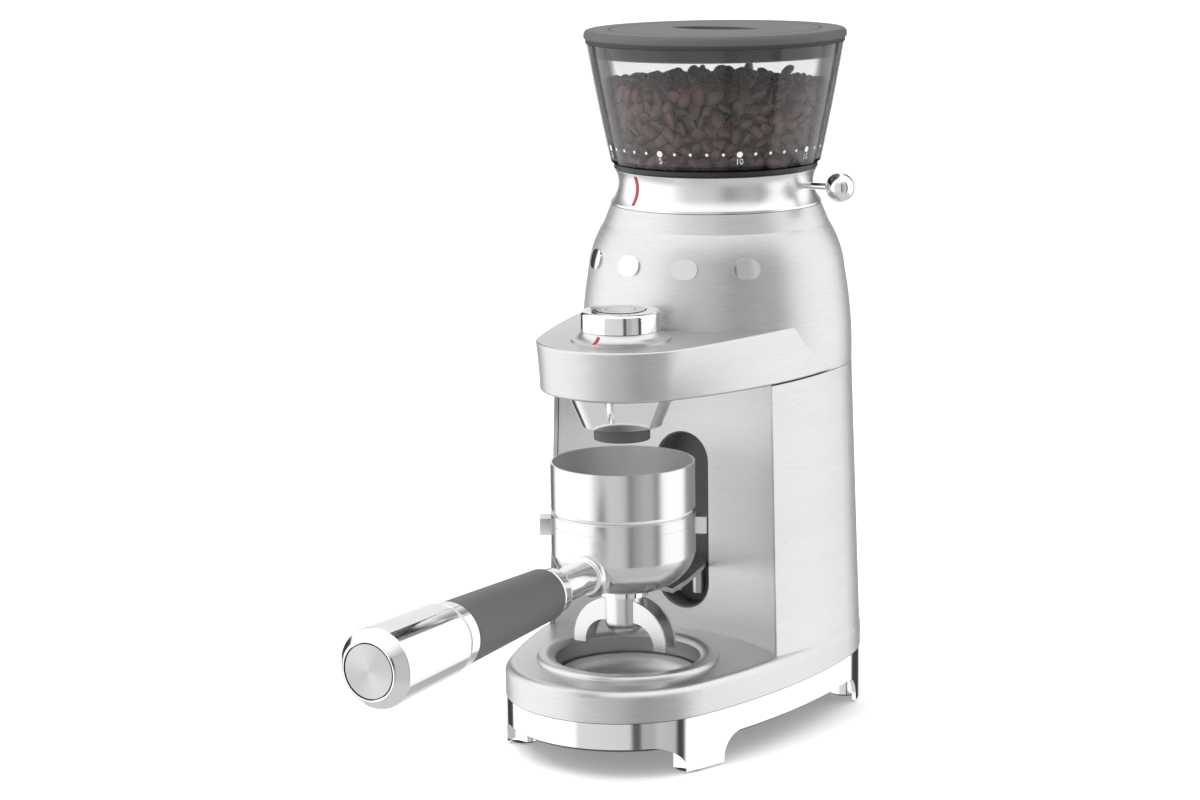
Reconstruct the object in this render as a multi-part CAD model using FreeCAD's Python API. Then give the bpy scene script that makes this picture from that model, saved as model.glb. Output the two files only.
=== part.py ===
import FreeCAD, Part
import math
import os
from FreeCAD import Placement, Rotation, Vector

# Burr coffee grinder with a seated portafilter. Millimetres, +Z up, -Y to the front,
# origin on the floor below the middle of the whole outline.

# --- Overall sizes -----------------------------------------------------------------
AXIS_Y = 137.0            # burr, hopper and bell axis, behind the origin
REACH = 111.4             # dosing axis in front of the burr axis
SEAM_Z = 31.5             # plinth below, body shell above
BODY_H = 170.8            # body shell, from its seam to the upper housing
BROW_H = 28.0             # height of the projecting brow
BELL_H = 91.0             # bell height above the same seam as the brow
WALL = 2.2                # shell thickness
GAP = 0.3                 # clearance between pieces
RUN = 0.05                # radial clearance of a running fit

# Plan outlines: rear radius, side radius, front radius, distance between rear and
# front centres. The side arc touches both circles.
BASE_PLAN = (83.6, 357.0, 66.3, 113.0)
TOWER_FOOT = (83.6, 238.9, 51.9, 110.5)
BROW_FOOT = (78.2, 225.3, 48.5, 104.5)
BROW_TOP = (73.5, 700.0, 48.8, 107.6)

# --- Base --------------------------------------------------------------------------
PLINTH_Z = 16.7           # lower edge of the plinth wall between its feet
PLINTH_WALL = 2.6
PAD_H = 1.0
PAD_R = 7.6
FOOT_BLOCK_R = 8.9
COVER_T = 1.8
ARCH_ROUND = 13.5
FRONT_ARCH = 57.5         # half widths of the openings under the front and rear
REAR_ARCH = 54.4
SCREW_R = 1.6
DECK_H = 17.4             # deck above the seam
DECK_ROUND = 5.5
TRAY_REACH = 108.0        # tray axis in front of the burr axis
TRAY_RING_R = 51.4
TRAY_MOUTH_R = 40.8
TRAY_RING_H = 2.8
DISH_R = 39.1
DISH_DEPTH = 8.9          # dish rim below the deck

# --- Tower face and recess ---------------------------------------------------------
FACE_R = 113.9            # concave front face
FACE_DEPTH = 42.5         # middle of the face, in front of the burr axis
PANEL_T = 1.3
PANEL_SET = 0.7           # panel surface behind the shell's edges
FACE_LIP = 0.8            # shell left standing in front of the face
RECESS_HALF = 18.3
RECESS_BELOW = 26.4       # recess below and above the fork
RECESS_ABOVE = 78.2
RECESS_DEPTH = 17.4
LINER_T = 1.4

# --- Fork --------------------------------------------------------------------------
FORK_H = 38.7             # fork above the deck
FORK_T = 2.6
FORK_TIP = 103.1          # tips, in front of the burr axis
FORK_HALF = 26.3
FORK_INNER = 12.0
FORK_CRADLE_R = 15.3
POST_R = 3.8

# --- Front emblem ------------------------------------------------------------------
EMBLEM_HALF = 5.5         # half height of an oval
EMBLEM_APART = 2.0        # its round ends from its middle
EMBLEM_PROUD = 1.2
EMBLEM_ANGLES = (-41.7, -14.0, 14.0, 41.7)

# --- Drive -------------------------------------------------------------------------
MODULE = 1.0
PINION_TEETH = 10
GEAR_TEETH = 40
GEAR_T = 7.0
MOUNT_DROP = 11.9         # motor mount below the seam
MOUNT_T = 3.4
CASE_H = 28.9
CASE_R = 32.7
CASE_BACK = 8.5           # gear case centre behind the burr axis
MOTOR_R = 30.6
MOTOR_H = 85.0
ROTOR_R = 17.0
MOTOR_SHAFT_R = 2.5
SHAFT_R = 3.5
BEARING_R = 7.0
BEARING_T = 4.5

# --- Burrs and adjuster ------------------------------------------------------------
FLOOR_H = 22.1            # chamber floor above the seam
SWEEP_H = 13.6            # room for the sweeper under the burrs
CHAMBER_R = 37.0
CARRIER_R = 34.0
BURR_H = 15.3
RING_BURR_R = 25.5
CONE_FOOT_R = 19.0
CONE_TOP_R = 8.5
THROAT_R = 22.0
COLLAR_H = 20.4
COLLAR_R = 60.5
COLLAR_WAIST = 56.1
COLLAR_TOP_R = 58.1
COLLAR_BORE = 49.3
INDEX_ANGLE = -24.0       # grind index, degrees from the front, positive towards +X
LEVER_H = 11.7            # lever above the collar's foot
LEVER_R = 1.9
BALL_AT = 79.0
BALL_R = 8.3

# --- Hopper and lid ----------------------------------------------------------------
HOPPER_H = 70.9
HOPPER_FOOT_R = 60.5
HOPPER_TOP_R = 73.6
HOPPER_WALL = 2.2
HOPPER_OUTLET_R = 17.9
FOOT_BAND_H = 2.7
LID_R = 75.1
LID_H = 5.4
LID_REST = 2.2            # lid plate above the hopper's rim
SEAL_H = 9.4
LID_LINE_R = 60.1         # fine groove in the lid's top

# --- Knob and outlet ---------------------------------------------------------------
KNOB_R = 22.1
KNOB_H = 16.2             # knob top above the brow
KNOB_SEAT_R = 27.5
KNOB_SEAT_H = 5.6
KNOB_STEM_R = 2.5
BUTTON_R = 14.2
SPRING_R = 3.4
SPRING_FOLDS = 5
SPRING_T = 0.5
CONE_TOP = 30.6
CONE_FOOT = 22.1
CONE_H = 19.6
SPOUT_R = 15.6
SPOUT_H = 7.9
DUCT_R = 12.8
DUCT_WALL = 1.7

# --- Portafilter -------------------------------------------------------------------
CUP_R = 40.2
CUP_H = 43.0
CUP_WALL = 2.9
DOSING_H = 28.6           # dosing ring above the cup's rim
DOSING_WALL = 1.1
BASKET_T = 0.7
HANDLE_H = 15.2           # handle axis above the cup's underside
NECK_R = 9.4
NECK_BOSS_R = 10.4
NECK_BOSS_L = 1.6         # boss in front of the bowl's wall
NECK_FLARE = 2.6          # how much wider the boss is at the bowl
STUD_R = 4.2
FERRULE_L = 10.6
GRIP_FROM = 85.3          # distances along the handle from the dosing axis
GRIP_TO = 174.5
CAP_FROM = 184.2
HANDLE_END = 248.2
GRIP_FRONT_R = 14.3       # rubber grip, at the ferrule and at the cap's ring
GRIP_REAR_R = 17.4
CAP_REAR_R = 19.1
CAP_FRONT_R = 20.6
RIM_R = 15.2              # rounded rim round the medallion
NUT_R = 13.3
NUT_H = 4.2
BOSS_R = 10.2
EAR_SPREAD = 8.0          # half angle of a lug, degrees
EAR_TURN = 30.0           # lugs turned from the X axis
EAR_REACH = 6.2           # lugs beyond the cup's wall
EAR_DROP = (12.0, 2.6)    # lug's foot and top below the cup's rim
LINE_DROP = 5.9           # fine groove below the cup's rim
LINE_W = 0.5
STUB_R = 10.8
STUB_H = 22.3             # barrel under the nut
TROUGH_W = 11.9
SHEET = 1.4

# --- Places that follow ------------------------------------------------------------
DOSE_Y = AXIS_Y - REACH
TRAY_Y = AXIS_Y - TRAY_REACH
FACE_Y = AXIS_Y - FACE_DEPTH
FACE_CENTRE_Y = FACE_Y - FACE_R
MOTOR_Y = AXIS_Y + MODULE * (PINION_TEETH + GEAR_TEETH) / 2
DECK_Z = SEAM_Z + DECK_H
WELL_FLOOR = SEAM_Z - 0.9
DISH_RIM_Z = DECK_Z - DISH_DEPTH
FORK_Z = DECK_Z + FORK_H
RECESS_Z = (FORK_Z - RECESS_BELOW, FORK_Z + RECESS_ABOVE)
BROW_Z = SEAM_Z + BODY_H
BROW_TOP_Z = BROW_Z + BROW_H
BELL_TOP = BROW_Z + BELL_H
MOUNT_Z = BROW_Z - MOUNT_DROP
CASE_Z = MOUNT_Z - CASE_H
CHAMBER_FLOOR = BROW_Z + FLOOR_H
BURR_Z = CHAMBER_FLOOR + SWEEP_H
COLLAR_Z = BELL_TOP + GAP
COLLAR_TOP = COLLAR_Z + COLLAR_H
LEVER_Z = COLLAR_Z + LEVER_H
HOPPER_TOP_Z = COLLAR_TOP + GAP + HOPPER_H
LID_Z = HOPPER_TOP_Z + LID_REST
TOTAL_H = LID_Z + LID_H
KNOB_TOP = BROW_TOP_Z + KNOB_H
KNOB_GAP_Z = BROW_TOP_Z + KNOB_SEAT_H
CONE_Z = BROW_Z - CONE_H
SPOUT_Z = CONE_Z - SPOUT_H
CUP_BOTTOM = FORK_Z + FORK_T + GAP
CUP_RIM = CUP_BOTTOM + CUP_H
DOSING_TOP = CUP_RIM + DOSING_H
DOSING_R = CUP_R - 0.1
BASKET_R = CUP_R - 4.0
HANDLE_Z = CUP_BOTTOM + HANDLE_H


# --- Helpers -----------------------------------------------------------------------
def face_of(steps):
    """Closed face in the XZ plane; a step made of two points is an arc through the first."""
    def at(point):
        return Vector(point[0], 0, point[1])
    edges = []
    last = steps[0]
    for step in list(steps[1:]) + [steps[0]]:
        if isinstance(step[0], tuple):
            edges.append(Part.Arc(at(last), at(step[0]), at(step[1])).toShape())
            last = step[1]
        elif step != last:
            edges.append(Part.LineSegment(at(last), at(step)).toShape())
            last = step
    return Part.Face(Part.Wire(edges))


def turned(*steps, y=AXIS_Y, x=0.0):
    """Solid of revolution of (radius, z) steps about the vertical axis at x, y."""
    solid = face_of(steps).revolve(Vector(0, 0, 0), Vector(0, 0, 1), 360)
    solid.translate(Vector(x, y, 0))
    return solid


def along_handle(*steps):
    """Solid of revolution about the handle axis; a step is (radius, distance forward)."""
    solid = face_of(steps).revolve(Vector(0, 0, 0), Vector(0, 0, 1), 360)
    solid.Placement = Placement(Vector(0, DOSE_Y, HANDLE_Z), Rotation(Vector(1, 0, 0), 90))
    return solid


def disc(radius, z0, z1, y=AXIS_Y, x=0.0):
    return Part.makeCylinder(radius, z1 - z0, Vector(x, y, z0))


def ring(r_in, r_out, z0, z1, y=AXIS_Y, x=0.0):
    return disc(r_out, z0, z1, y, x).cut(disc(r_in, z0 - 1, z1 + 1, y, x))


def block(x0, x1, y0, y1, z0, z1):
    return Part.makeBox(x1 - x0, y1 - y0, z1 - z0, Vector(x0, y0, z0))


def merged(shapes):
    return shapes[0].multiFuse(shapes[1:]).removeSplitter()


def plan_wire(plan, z, inset=0.0):
    """Egg-shaped outline: rear circle, two side arcs and front circle, all tangent."""
    rear, side, front, span = plan
    to_rear = side - rear
    to_front = side - front
    sy = (to_front ** 2 - to_rear ** 2 - span ** 2) / (2 * span)
    sx = -math.sqrt(to_rear ** 2 - sy ** 2)
    rear, side, front = rear - inset, side - inset, front - inset

    def arc(cx, cy, radius, start, end):
        middle = (start + end) / 2
        spots = [Vector(cx + radius * math.cos(a), AXIS_Y + cy + radius * math.sin(a), z)
                 for a in (start, middle, end)]
        return Part.Arc(*spots).toShape()
    turn_rear = math.atan2(-sy, -sx)
    turn_front = math.atan2(-span - sy, -sx)
    return Part.Wire([
        arc(0, 0, rear, math.pi - turn_rear, turn_rear),
        arc(sx, sy, side, turn_rear, turn_front),
        arc(0, -span, front, turn_front, -math.pi - turn_front),
        arc(-sx, sy, side, math.pi - turn_front, math.pi - turn_rear)])


def prism(plan, z0, z1, inset=0.0):
    return Part.Face(plan_wire(plan, z0, inset)).extrude(Vector(0, 0, z1 - z0))


def loft(low, high, z0, z1, inset=0.0):
    return Part.makeLoft([plan_wire(low, z0, inset), plan_wire(high, z1, inset)], True, True)


def face_cylinder(back, z0=0.0, z1=TOTAL_H):
    """Everything in front of the concave face, or of a surface set back from it."""
    return Part.makeCylinder(FACE_R + back, z1 - z0, Vector(0, FACE_CENTRE_Y, z0))


def pill(half, z0, z1, y0, y1):
    """Upright slot shape with round ends, from y0 back to y1."""
    depth = Vector(0, 1, 0)
    ends = [Part.makeCylinder(half, y1 - y0, Vector(0, y0, z), depth)
            for z in (z0 + half, z1 - half)]
    return merged(ends + [block(-half, half, y0, y1, z0 + half, z1 - half)])


def edges_at(solid, z, tolerance=0.01):
    return [e for e in solid.Edges
            if abs(e.BoundBox.ZMin - z) < tolerance and abs(e.BoundBox.ZMax - z) < tolerance]


def around(solid, angle, y=AXIS_Y):
    """Copy turned about the vertical axis at y; degrees, anticlockwise from above."""
    copy = solid.copy()
    copy.rotate(Vector(0, y, 0), Vector(0, 0, 1), angle)
    return copy


def gear(teeth, z0, z1, bore, y, phase=0.0):
    """Spur gear with trapezoid teeth of MODULE."""
    pitch = MODULE * teeth / 2
    root, tip = pitch - 1.1 * MODULE, pitch + 0.9 * MODULE
    step = 2 * math.pi / teeth
    spots = []
    for tooth in range(teeth):
        for share, radius in ((-0.30, root), (-0.13, tip), (0.13, tip), (0.30, root)):
            a = math.radians(phase) + (tooth + share) * step
            spots.append(Vector(radius * math.cos(a), y + radius * math.sin(a), z0))
    outline = Part.makePolygon(spots + spots[:1])
    return Part.Face(outline).extrude(Vector(0, 0, z1 - z0)).cut(disc(bore, z0 - 1, z1 + 1, y))


# --- Base --------------------------------------------------------------------------
def feet():
    """Foot block centres, just inside the plan's outline: two in front, two behind."""
    rear, _, front, span = BASE_PLAN
    spots = ((front - 13.6, -span - 21.3), (rear - 16.4, 0.386 * rear))
    return [(side * x, AXIS_Y + y) for x, y in spots for side in (-1, 1)]


def cover_screw_spots():
    """Screw lugs sit inboard of each foot block."""
    return [(x * 0.76, y + (11.9 if y < AXIS_Y else -1.7)) for x, y in feet()]


def plinth():
    shell = prism(BASE_PLAN, PAD_H, SEAM_Z - 0.4, 0.3)
    shell = shell.cut(prism(BASE_PLAN, 0, SEAM_Z, PLINTH_WALL))
    blocks = [disc(FOOT_BLOCK_R, PAD_H, SEAM_Z - 2.5, y, x) for x, y in feet()]
    inside = prism(BASE_PLAN, 0, SEAM_Z, 0.8)
    shell = merged([shell] + [b.common(inside) for b in blocks])
    side = BASE_PLAN[0] + 4.2
    front_y, rear_y = (feet()[k][1] for k in (0, 2))
    arches = [block(-side, side, front_y + 14.4, rear_y - 14.4, -10, PLINTH_Z),
              block(-FRONT_ARCH, FRONT_ARCH, front_y - 70, front_y - 6.8, -10, PLINTH_Z),
              block(-REAR_ARCH, REAR_ARCH, rear_y + 10.2, rear_y + 90, -10, PLINTH_Z)]
    for arch in arches:
        across = 'X' if arch.BoundBox.XLength > 2 * BASE_PLAN[0] else 'Y'
        top = [e for e in edges_at(arch, PLINTH_Z)
               if (e.BoundBox.XLength if across == 'X' else e.BoundBox.YLength) > 1]
        shell = shell.cut(arch.makeFillet(ARCH_ROUND, top))
    lugs = [ring(SCREW_R + RUN, 5.1, PLINTH_Z + GAP, SEAM_Z - 6.8, y, x)
            for x, y in cover_screw_spots()]
    ties = [block(min(x, fx), max(x, fx), min(y, fy) - 2, max(y, fy) + 2,
                  PLINTH_Z + GAP, SEAM_Z - 6.8)
            for (x, y), (fx, fy) in zip(cover_screw_spots(), feet())]
    bores = [disc(SCREW_R + RUN, 0, SEAM_Z, y, x) for x, y in cover_screw_spots()]
    return merged([shell] + lugs + ties).cut(Part.makeCompound(bores))


def foot_pads():
    return Part.makeCompound([disc(PAD_R, 0, PAD_H, y, x) for x, y in feet()])


def bottom_cover():
    plate = prism(BASE_PLAN, PLINTH_Z - COVER_T, PLINTH_Z, PLINTH_WALL + GAP)
    for x, y in feet():
        plate = plate.cut(disc(FOOT_BLOCK_R + GAP, 0, SEAM_Z, y, x))
    for x, y in cover_screw_spots():
        plate = plate.cut(disc(SCREW_R + GAP, 0, SEAM_Z, y, x))
    return plate


def cover_screws():
    z = PLINTH_Z - COVER_T
    return Part.makeCompound([
        turned((0, z - 2), (3.1, z - 2), (3.1, z), (SCREW_R, z), (SCREW_R, z + 9.5),
               (0, z + 9.5), y=y, x=x) for x, y in cover_screw_spots()])


def base_solid(inset=0.0):
    top = DECK_Z - (WALL if inset else 0)
    solid = prism(BASE_PLAN, SEAM_Z, top, inset)
    return solid.makeFillet(DECK_ROUND - inset, edges_at(solid, top))


def tower_solid(inset=0.0, back=0.0):
    solid = loft(TOWER_FOOT, BROW_FOOT, SEAM_Z, BROW_Z - GAP, inset)
    return solid.cut(face_cylinder(back))


def gland_spot():
    return AXIS_Y + BASE_PLAN[0], SEAM_Z + 11.0


def body_shell():
    """One casting: base wall with its deck, and the tower rising behind it."""
    outer = merged([base_solid(), tower_solid()])
    hollow = base_solid(WALL).cut(tower_solid())
    tower_hollow = loft(TOWER_FOOT, BROW_FOOT, SEAM_Z - 0.01, BROW_Z - GAP + 0.01, WALL)
    room = tower_hollow.cut(face_cylinder(-FACE_LIP, DECK_Z))
    room = room.cut(face_cylinder(PANEL_SET + PANEL_T, 0, DECK_Z))
    shell = outer.cut(hollow).cut(room)
    low = base_solid(WALL).common(tower_solid())
    shell = shell.cut(low)
    shell = shell.cut(disc(TRAY_MOUTH_R + 2.5, SEAM_Z, DECK_Z + 4.2, TRAY_Y))
    y, z = gland_spot()
    return shell.cut(Part.makeCylinder(5.1 + GAP, 17.0, Vector(0, y - 8.5, z), Vector(0, 1, 0)))


def face_panel():
    """Concave sheet that closes the front of the tower, with the recess opening."""
    sheet = face_cylinder(PANEL_SET + PANEL_T).cut(face_cylinder(PANEL_SET))
    room = loft(TOWER_FOOT, BROW_FOOT, SEAM_Z, BROW_Z - GAP, WALL + GAP)
    panel = sheet.common(room).common(
        block(-100, 100, FACE_Y - 60, FACE_Y + 10, DECK_Z, BROW_Z - GAP))
    return panel.cut(pill(RECESS_HALF - LINER_T, *RECESS_Z, FACE_Y - 25.5, FACE_Y + 25.5))


def recess_liner():
    """Dark pocket behind the opening; its rim stands through the panel."""
    z0, z1 = RECESS_Z
    back = FACE_Y + RECESS_DEPTH
    pocket = pill(RECESS_HALF, z0 - LINER_T, z1 + LINER_T, FACE_Y - 6.8, back)
    pocket = pocket.cut(face_cylinder(PANEL_SET + PANEL_T))
    bore = pill(RECESS_HALF - LINER_T - 1, z0 + 1, z1 - 1, FACE_Y - 7.6, back - LINER_T)
    return pocket.cut(bore)


def gland():
    y, z = gland_spot()
    parts = [Part.makeCylinder(r, length, Vector(0, y + start, z), Vector(0, 1, 0))
             for r, start, length in ((5.1, -5.1, 6.0), (7.2, 0.5, 2.5), (7.2, -WALL - 3.2, 2.2))]
    bore = Part.makeCylinder(2.8, 25.5, Vector(0, y - 12.8, z), Vector(0, 1, 0))
    return merged(parts).cut(bore)


# --- Tray --------------------------------------------------------------------------
def tray_ring():
    top = DECK_Z + TRAY_RING_H
    middle = (TRAY_MOUTH_R + TRAY_RING_R) / 2
    return turned((TRAY_MOUTH_R, DECK_Z), (TRAY_RING_R, DECK_Z),
                  ((TRAY_RING_R - 0.8, top - 0.8), (middle + 2, top)),
                  ((middle - 2.5, top - 0.3), (TRAY_MOUTH_R, DECK_Z + 0.5)), y=TRAY_Y)


def tray_well():
    r_out = TRAY_MOUTH_R + 2.0
    return turned((0, WELL_FLOOR - 2), (r_out, WELL_FLOOR - 2), (r_out, DECK_Z),
                  (TRAY_MOUTH_R, DECK_Z), (TRAY_MOUTH_R, WELL_FLOOR), (0, WELL_FLOOR), y=TRAY_Y)


def tray_dish():
    floor = WELL_FLOOR + GAP
    return turned((0, floor), (DISH_R - 7.6, floor), ((DISH_R - 2.9, floor + 3.1),
                  (DISH_R - 1.4, DISH_RIM_Z - 1)), (DISH_R, DISH_RIM_Z - 1), (DISH_R, DISH_RIM_Z),
                  (DISH_R - 2.2, DISH_RIM_Z), ((DISH_R - 3.9, floor + 3.9), (DISH_R - 8.5, floor + 1.0)),
                  (0, floor + 1.0), y=TRAY_Y)


# --- Fork --------------------------------------------------------------------------
def fork():
    """Crescent plate under the portafilter, with two posts below it in the recess."""
    back = FACE_DEPTH - RECESS_DEPTH + LINER_T
    half = RECESS_HALF - LINER_T - 3.8
    elbow = (FORK_HALF - 2.3, FACE_DEPTH + 0.65 * (FORK_TIP - FACE_DEPTH))
    right = [(half, back), (half, FACE_DEPTH - 2.5), (half + 2, FACE_DEPTH), elbow,
             (FORK_HALF, FORK_TIP), (FORK_INNER, FORK_TIP - 3.4)]
    spots = right + [(-x, forward) for x, forward in reversed(right)]
    points = [Vector(x, AXIS_Y - forward, FORK_Z) for x, forward in spots]
    plate = Part.Face(Part.makePolygon(points + points[:1])).extrude(Vector(0, 0, FORK_T))
    plate = plate.cut(disc(FORK_CRADLE_R, FORK_Z - 1, FORK_Z + FORK_T + 1, DOSE_Y))
    posts = [disc(POST_R, FORK_Z - 17.0, FORK_Z, FACE_Y + 6.0, x) for x in (-6.8, 6.8)]
    return merged([plate] + posts)


# --- Upper housing -----------------------------------------------------------------
def bell(inset=0.0):
    """Bell over the burrs; radii given as the drop from its foot."""
    r = BROW_FOOT[0] - inset
    low, mid, high, brim = (BROW_Z + share * BELL_H for share in (0.39, 0.58, 0.70, 0.88))
    top = BELL_TOP - inset
    return turned((0, BROW_Z), (r, BROW_Z), ((r - 1.5, low), (r - 4.0, mid)),
                  ((r - 6.0, high), (r - 13.3, brim)), (COLLAR_R - inset, top), (0, top))


def brow_room(inset):
    return loft(BROW_FOOT, BROW_TOP, BROW_Z - 0.01, BROW_TOP_Z - WALL, inset)


def upper_housing():
    """Bell over the burrs and the brow that carries the knob and outlet."""
    brow = loft(BROW_FOOT, BROW_TOP, BROW_Z, BROW_TOP_Z)
    brow = brow.makeFillet(1.4, edges_at(brow, BROW_TOP_Z))
    brow = brow.makeFillet(1.4, edges_at(brow, BROW_Z))
    outer = merged([bell(), brow])
    shell = outer.cut(bell(WALL)).cut(brow_room(WALL))
    shell = shell.cut(disc(CHAMBER_R + 1, BELL_TOP - 8.5, BELL_TOP + 1))
    return shell.cut(disc(5.1, BROW_TOP_Z - 8.5, BROW_TOP_Z + 1, DOSE_Y))


def brow_plate():
    """Underside of the brow, in front of the tower face."""
    plate = prism(BROW_FOOT, BROW_Z, BROW_Z + 1.7, WALL + GAP)
    plate = plate.common(brow_room(WALL + GAP)).common(face_cylinder(PANEL_SET + PANEL_T))
    return plate.cut(disc(DUCT_R + GAP, BROW_Z - 1, BROW_Z + 4.2, DOSE_Y))


def emblem():
    """Four plain raised ovals on the bell's front."""
    z = BELL_TOP - 0.32 * BELL_H
    y = AXIS_Y - BROW_FOOT[0] + 11.0
    half, apart, depth = EMBLEM_HALF, EMBLEM_APART, 2 * EMBLEM_HALF
    ovals = []
    for angle in EMBLEM_ANGLES:
        ends = [Part.makeCylinder(half, depth, Vector(x, y, z), Vector(0, -1, 0))
                for x in (-apart, apart)]
        bar = merged(ends + [block(-apart, apart, y - depth, y, z - half, z + half)])
        bar = bar.common(bell(-EMBLEM_PROUD)).cut(bell(0.0))
        ovals.append(around(bar, angle))
    return Part.makeCompound(ovals)


# --- Drive train -------------------------------------------------------------------
def motor_mount():
    room = loft(TOWER_FOOT, BROW_FOOT, SEAM_Z, BROW_Z - GAP, WALL + GAP)
    plate = room.cut(face_cylinder(PANEL_SET + PANEL_T + GAP)).common(
        block(-93.5, 93.5, AXIS_Y - 93.5, AXIS_Y + 93.5, MOUNT_Z, MOUNT_Z + MOUNT_T))
    return plate.cut(disc(SHAFT_R + 2, MOUNT_Z - 1, MOUNT_Z + MOUNT_T + 1))


def case_centre():
    return AXIS_Y + CASE_BACK


def gear_case():
    cup = disc(CASE_R, CASE_Z, MOUNT_Z, case_centre())
    cup = cup.cut(disc(CASE_R - 2.1, CASE_Z + 2.5, MOUNT_Z + 1, case_centre()))
    seat = ring(BEARING_R, BEARING_R + 2.1, CASE_Z + 2.5, CASE_Z + 2.5 + BEARING_T)
    return merged([cup, seat]).cut(disc(MOTOR_SHAFT_R + RUN, CASE_Z - 1, CASE_Z + 3.4, MOTOR_Y))


def bearings():
    low = CASE_Z + 2.5
    high = MOUNT_Z + MOUNT_T + 18.7
    return Part.makeCompound([ring(SHAFT_R + RUN, BEARING_R, z, z + BEARING_T)
                              for z in (low, high)])


def motor_can():
    top = CASE_Z
    foot = top - MOTOR_H
    can = disc(MOTOR_R, foot, top, MOTOR_Y).cut(disc(MOTOR_R - 2, foot + 2.5, top - 2.5, MOTOR_Y))
    magnets = ring(ROTOR_R + 1.3, MOTOR_R - 2, foot + 11.9, top - 11.9, MOTOR_Y)
    can = merged([can, magnets])
    return can.cut(disc(MOTOR_SHAFT_R + RUN, foot - 1, top + 1, MOTOR_Y))


def rotor():
    foot = CASE_Z - MOTOR_H
    core = disc(ROTOR_R, foot + 13.6, CASE_Z - 13.6, MOTOR_Y)
    shaft = disc(MOTOR_SHAFT_R, foot - 3.4, CASE_Z + 17.0, MOTOR_Y)
    return merged([core, shaft])


def gear_z():
    return CASE_Z + 2.5 + BEARING_T + 2.5


def pinion():
    z = gear_z() - 0.4
    return gear(PINION_TEETH, z, z + GEAR_T + 1, MOTOR_SHAFT_R, MOTOR_Y,
                phase=-90 + 180 / PINION_TEETH)


def drive_gear():
    z = gear_z()
    wheel = gear(GEAR_TEETH, z, z + GEAR_T, SHAFT_R, AXIS_Y, phase=90)
    hub = ring(SHAFT_R, 7.6, z + GEAR_T, z + GEAR_T + 3.4)
    return merged([wheel, hub])


def burr_shaft():
    return disc(SHAFT_R, CASE_Z + 2.5, BURR_Z + BURR_H + 11.9)


def sweeper():
    """Impeller that throws the grounds to the chute."""
    z = CHAMBER_FLOOR + 2
    hub = ring(SHAFT_R, 11.9, z, BURR_Z)
    blade = block(-1.3, 1.3, AXIS_Y + 8.5, AXIS_Y + CARRIER_R - 2.5, z, z + 9.3)
    return merged([hub] + [around(blade, a) for a in (30, 150, 270)])


def burr_teeth(r0, r1, z0, z1, count, depth, width):
    """Slanted grooves along a cone from radius r0 at z0 to r1 at z1."""
    grooves = []
    slope = math.degrees(math.atan2(r0 - r1, z1 - z0))
    for k in range(count):
        cutter = Part.makeBox(width, width, 3 * (z1 - z0),
                              Vector(-width / 2, -width / 2, -(z1 - z0)))
        cutter.rotate(Vector(0, 0, 0), Vector(0, 0, 1), 45)
        cutter.rotate(Vector(0, 0, 0), Vector(0, 1, 0), -slope)
        cutter.rotate(Vector(0, 0, 0), Vector(1, 0, 0), 18)
        cutter.translate(Vector((r0 + r1) / 2 + width * 0.6 - depth, AXIS_Y, (z0 + z1) / 2))
        grooves.append(around(cutter, 360.0 * k / count))
    return Part.makeCompound(grooves)


def cone_burr():
    z0, z1 = BURR_Z, BURR_Z + BURR_H + 5.1
    cone = turned((SHAFT_R, z0), (CONE_FOOT_R, z0), (CONE_FOOT_R, z0 + 2.5),
                  (CONE_TOP_R, z1), (SHAFT_R, z1))
    return cone.cut(burr_teeth(CONE_FOOT_R, CONE_TOP_R, z0 + 2.5, z1, 12, 1.4, 2.6))


def burr_nut():
    z = BURR_Z + BURR_H + 5.1
    hexagon = Part.makePolygon([Vector(6.4 * math.cos(a), AXIS_Y + 6.4 * math.sin(a), z)
                                for a in [k * math.pi / 3 for k in range(7)]])
    return Part.Face(hexagon).extrude(Vector(0, 0, 5.1)).cut(disc(SHAFT_R, z - 1, z + 6.0))


def ring_burr():
    z0, z1 = BURR_Z, BURR_Z + BURR_H
    return turned((CONE_FOOT_R + 0.5, z0), (RING_BURR_R, z0), (RING_BURR_R, z1),
                  (CONE_FOOT_R - 1, z1), (CONE_FOOT_R + 0.5, z0 + 3.4))


def burr_carrier():
    """Screwed ring that holds the outer burr and turns with the collar."""
    z0, top = BURR_Z, COLLAR_Z + 4.2
    lip = BURR_Z + BURR_H + 2
    return turned((RING_BURR_R, z0), (CARRIER_R, z0), (CARRIER_R, COLLAR_Z),
                  (COLLAR_BORE, COLLAR_Z), (COLLAR_BORE, top), (THROAT_R + 13.6, top),
                  (THROAT_R, lip + 6.8), (THROAT_R, lip), (CONE_FOOT_R - 1, lip),
                  (CONE_FOOT_R - 1, lip - 2), (RING_BURR_R, lip - 2))


def grind_chamber():
    """Fixed pot round the burrs, on a skirt that stands on the motor mount."""
    floor = CHAMBER_FLOOR
    foot = MOUNT_Z + MOUNT_T
    bore = CARRIER_R + RUN
    pot = turned((SHAFT_R + 1.3, floor - 2.5), (CHAMBER_R, floor - 2.5), (CHAMBER_R, BELL_TOP - 12.8),
                 (bore, BELL_TOP - 12.8), (bore, floor), (SHAFT_R + 1.3, floor))
    skirt = ring(BEARING_R + 11.9, BEARING_R + 14.4, foot, floor - 2.5)
    hub = ring(BEARING_R, BEARING_R + 12.1, foot + 18.7, foot + 18.7 + BEARING_T)
    inlet = block(-9.3, 9.3, AXIS_Y - 51.0, AXIS_Y - 25.5, floor, BURR_Z - 2)
    return merged([pot, skirt, hub]).cut(inlet)


# --- Chute and outlet --------------------------------------------------------------
def duct_section(half, forward, z0, z1):
    y = AXIS_Y - forward
    return Part.makePolygon([Vector(-half, y, z0), Vector(half, y, z0), Vector(half, y, z1),
                             Vector(-half, y, z1), Vector(-half, y, z0)])


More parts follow.
